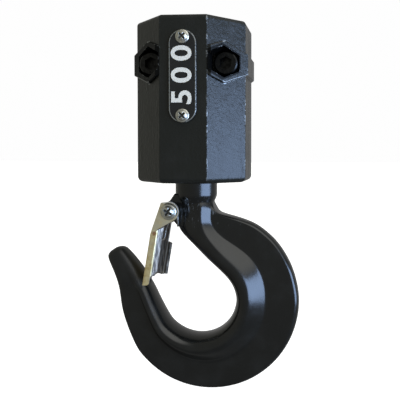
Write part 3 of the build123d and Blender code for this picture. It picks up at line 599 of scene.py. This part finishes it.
def lug_ring(y, inset):
    """Outline of the latch's lug: a round nose, drawn in towards its top, and a slope up to the shank."""
    nose = []
    for angle in range(NOSE_FROM, NOSE_TO, 8):
        drawn_in = NOSE_DRAWN_IN * max(0.0, (NOSE_FULL - angle) / (NOSE_FULL - NOSE_FROM))
        radius = LUG_RADIUS - inset - drawn_in
        nose.append((PIVOT_X + radius * cos(radians(angle)), PIVOT_Z + radius * sin(radians(angle))))
    outline = [(-2.0, -56.0 - inset), (-8.7, -56.6 - inset), (-10.7 + inset, -59.5 - inset), *nose]
    outline += [(-6.9, -71.4 + inset), (-2.0, -71.4 + inset)]
    return [(x, y, z) for x, z in outline]


lug_rings = [lug_ring(-LUG_HALF, 0.7), lug_ring(-LUG_HALF + 0.2, 0.2), lug_ring(-LUG_HALF + 0.7, 0.0)]
lug_rings += [lug_ring(LUG_HALF - 0.7, 0.0), lug_ring(LUG_HALF - 0.2, 0.2), lug_ring(LUG_HALF, 0.7)]
piece("hook_lug", skin("hook_lug", lug_rings, 50), "hook_paint", "hook", "hook_paint")


# ------------------------------------------------------------------ what Geometry Nodes make
class Recipe:
    """A Geometry Nodes tree while it is put together. Its inputs are millimetres or plain numbers."""

    def __init__(self, name, finish, *sizes):
        self.tree = bpy.data.node_groups.new(name, "GeometryNodeTree")
        self.name, self.finish = name, finish
        self.tree.interface.new_socket("Mesh", in_out="OUTPUT", socket_type="NodeSocketGeometry")
        self.tree.interface.new_socket("Mesh", in_out="INPUT", socket_type="NodeSocketGeometry")
        for size in sizes:
            self.tree.interface.new_socket(size, in_out="INPUT", socket_type="NodeSocketFloat")
        self.given = self.tree.nodes.new("NodeGroupInput")

    def feed(self, socket, value):
        if isinstance(value, Wire):
            self.tree.links.new(value.socket, socket)
        else:
            socket.default_value = value

    def node(self, kind, settings=None, sockets=None, output=0):
        made = self.tree.nodes.new(kind)
        for setting, value in (settings or {}).items():
            setattr(made, setting, value)
        for socket, value in (sockets or {}).items():
            for one in value if isinstance(value, list) else [value]:
                self.feed(made.inputs[socket], one)
        return Wire(self, made.outputs[output])

    def size(self, name):
        return Wire(self, self.given.outputs[name])

    def place(self, x, y, z):
        return self.node("ShaderNodeCombineXYZ", {}, {0: x, 1: y, 2: z})

    def ends(self, shape):
        """Ends the tree: instances are made real, and the finish is set."""
        shape = self.node("GeometryNodeRealizeInstances", {}, {0: shape})
        shape = self.node("GeometryNodeSetMaterial", {}, {"Geometry": shape, "Material": paints[self.finish]})
        self.tree.links.new(shape.socket, self.tree.nodes.new("NodeGroupOutput").inputs[0])

    def mesh(self, name, start=None, **sizes):
        """The recipe's result with these sizes, as a plain mesh."""
        holder = bpy.data.objects.new(name, start or bpy.data.meshes.new(name + "_start"))
        bpy.context.scene.collection.objects.link(holder)
        modifier = holder.modifiers.new(self.name, "NODES")
        modifier.node_group = self.tree
        for socket in self.tree.interface.items_tree:
            if socket.in_out == "INPUT" and socket.name in sizes:
                modifier[socket.identifier] = float(sizes[socket.name])
        bpy.context.view_layer.update()
        made = bpy.data.meshes.new_from_object(holder.evaluated_get(bpy.context.evaluated_depsgraph_get()))
        bpy.data.objects.remove(holder)
        return made


def pan_head_recipe():
    """Domed heads on a thin flange, with a cross recess, one or two in a column, on the front of a plane."""
    r = Recipe("pan_heads", "zinc_steel", "radius", "height", "turn", "shank", "length", "count", "spacing")
    radius, height = r.size("radius"), r.size("height")
    # a grid is rolled into a disc: one way it goes round, and the other way it goes from the middle out to
    # the rim and then back in under the head
    grid = r.node("GeometryNodeMeshGrid", {}, {0: 1.0, 1: 1.0, 2: 97, 3: 72})
    seen = r.node("GeometryNodeInputPosition")
    turn, out = (r.node("ShaderNodeSeparateXYZ", {}, {0: seen}, axis) + 0.5 for axis in range(2))
    rim = 0.96
    share = (out / rim).lower(1.0)
    closing = 1.0 - ((out - rim) / 0.04).higher(0.0)
    angle = turn * (2 * pi)
    x = share * r.node("ShaderNodeMath", {"operation": "COSINE"}, {0: angle})
    y = share * r.node("ShaderNodeMath", {"operation": "SINE"}, {0: angle})
    dome = (1.0 - (share / 0.8).lower(1.0) ** 2.4).root()
    flange = (1.0 - share ** 9.0).root() * 0.42
    tilt = r.size("turn")
    cosine = r.node("ShaderNodeMath", {"operation": "COSINE"}, {0: tilt})
    sine = r.node("ShaderNodeMath", {"operation": "SINE"}, {0: tilt})
    along, aside = x * cosine + y * sine, y * cosine - x * sine
    slots = [
        abs(one).rise(0.16, 0.10) * abs(other).rise(0.58, 0.48)
        for one, other in ((along, aside), (aside, along))
    ]
    recess = slots[0].higher(slots[1])
    top = dome.higher(flange) - recess * (0.72 - share * 0.4)
    # the recess is stored for the finish, which paints shade into it
    sockets = {"Geometry": grid, "Name": "recess", "Value": recess}
    grid = r.node("GeometryNodeStoreNamedAttribute", {}, sockets)
    raised = top * closing.rise(0.0, 0.01) * height * MM
    place = r.place(x * closing * radius * MM, y * closing * radius * MM, raised)
    head = r.node("GeometryNodeSetPosition", {}, {"Geometry": grid, "Position": place})
    head = r.node("GeometryNodeMergeByDistance", {}, {"Geometry": head, "Distance": 0.002 * MM})
    head = r.node("GeometryNodeFlipFaces", {}, {0: head})
    length = r.size("length") * MM
    sockets = {"Vertices": 32, "Radius": r.size("shank") * MM, "Depth": length}
    shank = r.node("GeometryNodeMeshCylinder", {}, sockets)
    sockets = {"Geometry": shank, "Translation": r.place(0.0, 0.0, length * -0.5)}
    shank = r.node("GeometryNodeTransform", {}, sockets)
    screw = r.node("GeometryNodeJoinGeometry", {}, {0: [head, shank]})
    sockets = {"Count": r.size("count"), "Offset": r.place(0.0, r.size("spacing") * MM, 0.0)}
    column = r.node("GeometryNodeMeshLine", {}, sockets)
    screws = r.node("GeometryNodeInstanceOnPoints", {}, {"Points": column, "Instance": screw})
    screws = r.node("GeometryNodeTransform", {}, {"Geometry": screws, "Rotation": (radians(90), 0.0, 0.0)})
    screws = r.node("GeometryNodeRealizeInstances", {}, {0: screws})
    r.ends(r.node("GeometryNodeSetShadeSmooth", {}, {"Geometry": screws}))
    return r


def moved(mesh, x, y, z):
    """Moves a mesh by millimetres."""
    mesh.transform(Matrix.Translation(Vector((x, y, z)) * MM))


pan_heads = pan_head_recipe()
plate_heads = pan_heads.mesh(
    "plate_heads",
    radius=2.9, height=1.7, turn=radians(42), shank=1.45, length=6.0, count=2, spacing=2 * PLATE_SCREW_Z,
)
moved(plate_heads, 0.0, -BLOCK_HALF - PLATE_RISE, PLATE_Z - PLATE_SCREW_Z)
piece("plate_screw_heads", plate_heads, "zinc_steel", "block", "zinc_steel", "plate_screws")
latch_head = pan_heads.mesh(
    "latch_head", radius=3.6, height=2.6, turn=radians(60), shank=2.0, length=28.8, count=1, spacing=0.0
)
moved(latch_head, PIVOT_X, -LATCH_HALF, PIVOT_Z)
piece("latch_screw_head", latch_head, "zinc_steel", "latch", "zinc_steel", "latch_screw")


def wire_recipe():
    """Round wire along the edges of a mesh."""
    r = Recipe("wire", "spring_steel", "wire_radius")
    paths = r.node("GeometryNodeMeshToCurve", {}, {0: Wire(r, r.given.outputs["Mesh"])})
    sockets = {"Resolution": 14, "Radius": r.size("wire_radius") * MM}
    outline = r.node("GeometryNodeCurvePrimitiveCircle", {}, sockets)
    wire = r.node("GeometryNodeCurveToMesh", {}, {0: paths, 1: outline, "Fill Caps": True})
    r.ends(r.node("GeometryNodeSetShadeSmooth", {}, {"Geometry": wire}))
    return r


WIRE_RADIUS = 0.37
COIL_RADIUS, COIL_PITCH, COIL_TURNS, COIL_STEPS = 3.1, 0.85, 2.5, 60
COIL_START = 7.1                 # from the latch's middle to where a coil starts
COIL_LEG = [(0.0, 1.0, -5.4), (0.1, 1.6, -6.5), (0.5, 1.8, -6.9)]    # left of the coil, inwards of it, height
spring_wire = wire_recipe()


def polylines(name, paths):
    """A mesh of edges through paths of points in millimetres from the latch's pivot."""
    mesh = bpy.data.meshes.new(name)
    points, edges = [], []
    for path in paths:
        edges += [(len(points) + i, len(points) + i + 1) for i in range(len(path) - 1)]
        points += [Vector((PIVOT_X + x, y, PIVOT_Z + z)) * MM for x, y, z in path]
    mesh.from_pydata(points, edges, [])
    return mesh


def rounded(corners, radius, steps=6):
    """A path through corners in millimetres, each of them rounded."""
    corners = [Vector(corner) for corner in corners]
    path = [corners[0]]
    for before, corner, after in zip(corners, corners[1:], corners[2:]):
        start = corner + (before - corner).normalized() * radius
        end = corner + (after - corner).normalized() * radius
        for step in range(steps + 1):
            t = step / steps
            path.append(start * (1 - t) ** 2 + corner * 2 * t * (1 - t) + end * t**2)
    return path + [corners[-1]]


coil_paths = []
for side in (-1, 1):
    coil = []
    for step in range(COIL_STEPS + 1):
        turn = 2 * pi * COIL_TURNS * step / COIL_STEPS
        y = side * (COIL_START + COIL_PITCH * COIL_TURNS * step / COIL_STEPS)
        coil.append((-COIL_RADIUS * cos(turn), y, COIL_RADIUS * sin(turn)))
    end_y = COIL_START + COIL_PITCH * COIL_TURNS
    leg = [(COIL_RADIUS - left, side * (end_y - inwards), z) for left, inwards, z in COIL_LEG]
    coil_paths.append(coil + leg)
coils = spring_wire.mesh("coils", polylines("coil_paths", coil_paths), wire_radius=WIRE_RADIUS)
piece("spring_coils", coils, "spring_steel", "hook", "spring_steel", "latch_spring")

SHEET, LOOP_GAP = 1.2, 0.3       # thickness of the latch's web, and the loop's distance from it
EAR_X, EAR_Z = 3.5, 3.9          # where the latch's back starts, left of and above the pivot


def latch_inside(drop):
    """Where the loop runs inside the latch's web, at a depth below the pivot."""
    if drop < KNEE_Z:
        reach = EAR_X + (drop + EAR_Z) * (KNEE_X - EAR_X) / (KNEE_Z + EAR_Z)
    else:
        reach = KNEE_X + (drop - KNEE_Z) * WEB_SLOPE
    return SHEET + LOOP_GAP + WIRE_RADIUS - reach, -drop


half_loop = [(-COIL_RADIUS, 0.0), latch_inside(8.2), latch_inside(KNEE_Z), latch_inside(15.0)]
loop_corners = [(x, -COIL_START, z) for x, z in half_loop]
loop_corners += [(x, COIL_START, z) for x, z in reversed(half_loop)]
loop_path = polylines("loop_path", [rounded(loop_corners, 0.8)])
loop = spring_wire.mesh("loop", loop_path, wire_radius=WIRE_RADIUS)
piece("spring_loop", loop, "spring_steel", "latch", "spring_steel", "latch_spring")


# ------------------------------------------------------------------ latch, as pressed sheet
# heights here are from the pivot
FLANGE_INSIDE = 10.79            # from the latch's middle to the inside of a flange
FLANGE_END = -30.5               # the flanges' ends are below this
FLANGE_LONGER, FLANGE_LEFT = 1.2, 0.2   # how far those ends are moved down and to the left
FLANGE_CORNER, EDGE_ROUND = 0.9, 0.13
LIP_TOP, LIP_BOTTOM = -8.0, -27.6
LIP_INNER, LIP_DEPTH = 8.5, 2.6  # the lips lie further than this from the middle, and from the web's back
SLANT_WIDTH = 2.5                # how far in from the flange a lip's end slants


def pressed_latch():
    """The latch with longer flanges, slanted ends of the near lip and slightly rounded edges."""
    shape = bmesh.new()
    shape.from_mesh(nodes["latch"].data)
    bmesh.ops.remove_doubles(shape, verts=shape.verts, dist=0.002 * MM)
    bmesh.ops.dissolve_limit(shape, angle_limit=radians(1), verts=shape.verts, edges=shape.edges)
    for side in (-1, 1):
        everything = shape.verts[:] + shape.edges[:] + shape.faces[:]
        flange = Vector((0, side * (FLANGE_INSIDE - 0.01) * MM, 0))
        bmesh.ops.bisect_plane(shape, geom=everything, plane_co=flange, plane_no=(0, 1, 0))
    for corner in shape.verts:
        x, y, z = corner.co.x / MM - PIVOT_X, corner.co.y / MM, corner.co.z / MM - PIVOT_Z
        if z < FLANGE_END and abs(y) > FLANGE_INSIDE:
            x, z = x - FLANGE_LEFT, z - FLANGE_LONGER
        turned_in = min(max((y + LATCH_HALF) / SLANT_WIDTH, 0.0), 1.0)
        inset = x + KNEE_X - (z + KNEE_Z) * WEB_SLOPE
        on_near_lip = y < -LIP_INNER and inset > LIP_DEPTH
        if on_near_lip and abs(z - LIP_TOP) < 1.0:
            z += 1.8 * turned_in
        elif on_near_lip and abs(z - LIP_BOTTOM) < 1.0:
            z += 2.2 * turned_in - 0.9
        corner.co = Vector((PIVOT_X + x, y, PIVOT_Z + z)) * MM
    ends = [
        edge for edge in shape.edges
        if all(one.co.z < (PIVOT_Z - 32.0) * MM and abs(one.co.y) > FLANGE_INSIDE * MM for one in edge.verts)
        and edge.calc_length() > 1.0 * MM and abs(edge.verts[0].co.y - edge.verts[1].co.y) > 1.0 * MM
    ]
    bmesh.ops.bevel(shape, geom=ends, offset=FLANGE_CORNER * MM, segments=4, profile=0.5, affect="EDGES")
    mesh = bpy.data.meshes.new("pressed_latch")
    shape.to_mesh(mesh)
    shape.free()
    mesh.shade_smooth()
    mesh.set_sharp_from_angle(angle=radians(30))
    made = piece("pressed_latch", mesh, "yellow_zinc", "latch", "yellow_zinc", "latch")
    edges = made.modifiers.new("edges", "BEVEL")
    edges.width, edges.segments = EDGE_ROUND * MM, 2
    edges.limit_method, edges.angle_limit = "ANGLE", radians(35)
    edges.harden_normals = True


pressed_latch()


# ------------------------------------------------------------------ studio
def floor_finish():
    f = Finish("floor", Specular_IOR_Level=0.2)
    cloudy = f.noise(60.0, 3.0, 0.5)
    return f.done(
        Base_Color=f.mix(cloudy, (0.90, 0.90, 0.90), (0.93, 0.93, 0.93)),
        Roughness=0.6 + cloudy * 0.1,
        Emission_Color=(1.0, 1.0, 1.0),
        Emission_Strength=0.72,
    )


FLOOR_Z = -175.0
FLOOR_HALF = 6.0                 # metres


def floor():
    """A plain pale floor, which the part doesn't reflect."""
    mesh = bpy.data.meshes.new("floor")
    ends = ((-1, -1), (1, -1), (1, 1), (-1, 1))
    mesh.from_pydata([(x * FLOOR_HALF, y * FLOOR_HALF, FLOOR_Z * MM) for x, y in ends], [], [(0, 1, 2, 3)])
    made = bpy.data.objects.new("floor", mesh)
    bpy.context.scene.collection.objects.link(made)
    mesh.materials.append(floor_finish())
    made.visible_glossy = made.visible_diffuse = made.visible_shadow = False


floor()


def soft_light(name, place, aim, width, height, power, colour):
    """A large soft box at a place in metres, aimed at a point."""
    lamp = bpy.data.lights.new(name, "AREA")
    lamp.shape = "RECTANGLE"
    lamp.size, lamp.size_y = width, height
    lamp.energy, lamp.color = power, colour
    made = bpy.data.objects.new(name, lamp)
    made.location = place
    made.rotation_mode = "QUATERNION"
    made.rotation_quaternion = (Vector(aim) - Vector(place)).to_track_quat("-Z", "Y")
    made.visible_camera = False
    bpy.context.scene.collection.objects.link(made)


soft_light(
    "right_window",
    place=(0.90, -0.40, -0.135), aim=(0.0, 0.0, -0.06),
    width=1.02, height=0.50, power=17.0, colour=(0.44, 0.63, 1.0),
)

world = bpy.data.worlds.new("studio")
bpy.context.scene.world = world
world.use_nodes = True
tree = world.node_tree
tree.nodes.clear()


def world_node(kind, sockets=None, **settings):
    """A node of the world, its sockets set to plain values or linked."""
    made = tree.nodes.new(kind)
    for setting, value in settings.items():
        setattr(made, setting, value)
    for socket, value in (sockets or {}).items():
        if isinstance(value, bpy.types.NodeSocket):
            tree.links.new(value, made.inputs[socket])
        else:
            made.inputs[socket].default_value = value
    return made


direction = world_node("ShaderNodeTexCoord").outputs["Generated"]
split = world_node("ShaderNodeSeparateXYZ", {0: direction})


def soft_step(value, start, end):
    sockets = {0: value, 1: start, 2: end, 3: 0.0, 4: 1.0}
    return world_node("ShaderNodeMapRange", sockets, interpolation_type="SMOOTHSTEP").outputs[0]


def blended(share, first, second):
    return world_node("ShaderNodeMix", {0: share, 6: first, 7: second}, data_type="RGBA").outputs[2]


# a dim room: a little lighter on the left and behind, darker low down, and a pale wall high up on the right
wall_aim = (0.50, -0.46, 0.73)
facing_wall = world_node("ShaderNodeVectorMath", {0: direction, 1: wall_aim}, operation="DOT_PRODUCT")
room = blended(soft_step(split.outputs["X"], 0.1, -0.95), (0.30, 0.30, 0.275, 1), (0.33, 0.335, 0.30, 1))
room = blended(soft_step(split.outputs["Y"], 0.4, 1.0), room, (0.42, 0.415, 0.41, 1))
room = blended(soft_step(split.outputs["Z"], -0.1, -0.75), room, (0.18, 0.18, 0.17, 1))
room = blended(soft_step(facing_wall.outputs["Value"], 0.78, 0.95), room, (1.9, 1.9, 1.8, 1))
soft = world_node("ShaderNodeBackground", {0: room, 1: 1.0}).outputs[0]
plain = world_node("ShaderNodeBackground", {0: (0.99, 0.99, 0.99, 1), 1: 1.0}).outputs[0]
seen_directly = world_node("ShaderNodeLightPath").outputs["Is Camera Ray"]
shown_world = world_node("ShaderNodeMixShader", {0: seen_directly, 1: soft, 2: plain}).outputs[0]
world_node("ShaderNodeOutputWorld", {0: shown_world})
bpy.context.scene.view_settings.view_transform = "Standard"

# ------------------------------------------------------------------ camera at the photograph's angle
FOCAL_SHARE = 537.5 / 400        # focal length over the picture's width
SENSOR = 36.0
SHIFT_X, SHIFT_Y = -0.2, -0.085  # the picture's middle is left of and below the lens's
YAW, PITCH, ROLL = -0.0744, 0.0282, 0.0028
CAMERA_PLACE = (56.4, -242.3, -37.2)
forward = Vector((sin(YAW) * cos(PITCH), cos(YAW) * cos(PITCH), -sin(PITCH)))
level_right = Vector((cos(YAW), -sin(YAW), 0.0))
level_up = level_right.cross(forward)
right = level_right * cos(ROLL) + level_up * sin(ROLL)
up = level_up * cos(ROLL) - level_right * sin(ROLL)
lens = bpy.data.cameras.new("camera")
lens.sensor_width = SENSOR
lens.lens = SENSOR * FOCAL_SHARE
lens.shift_x, lens.shift_y = SHIFT_X, SHIFT_Y
lens.clip_start, lens.clip_end = 0.01, 30.0
camera = bpy.data.objects.new("camera", lens)
camera.matrix_world = Matrix.Translation(Vector(CAMERA_PLACE) * MM) @ Matrix(
    (right, up, -forward)
).transposed().to_4x4()
bpy.context.scene.collection.objects.link(camera)
bpy.context.scene.camera = camera
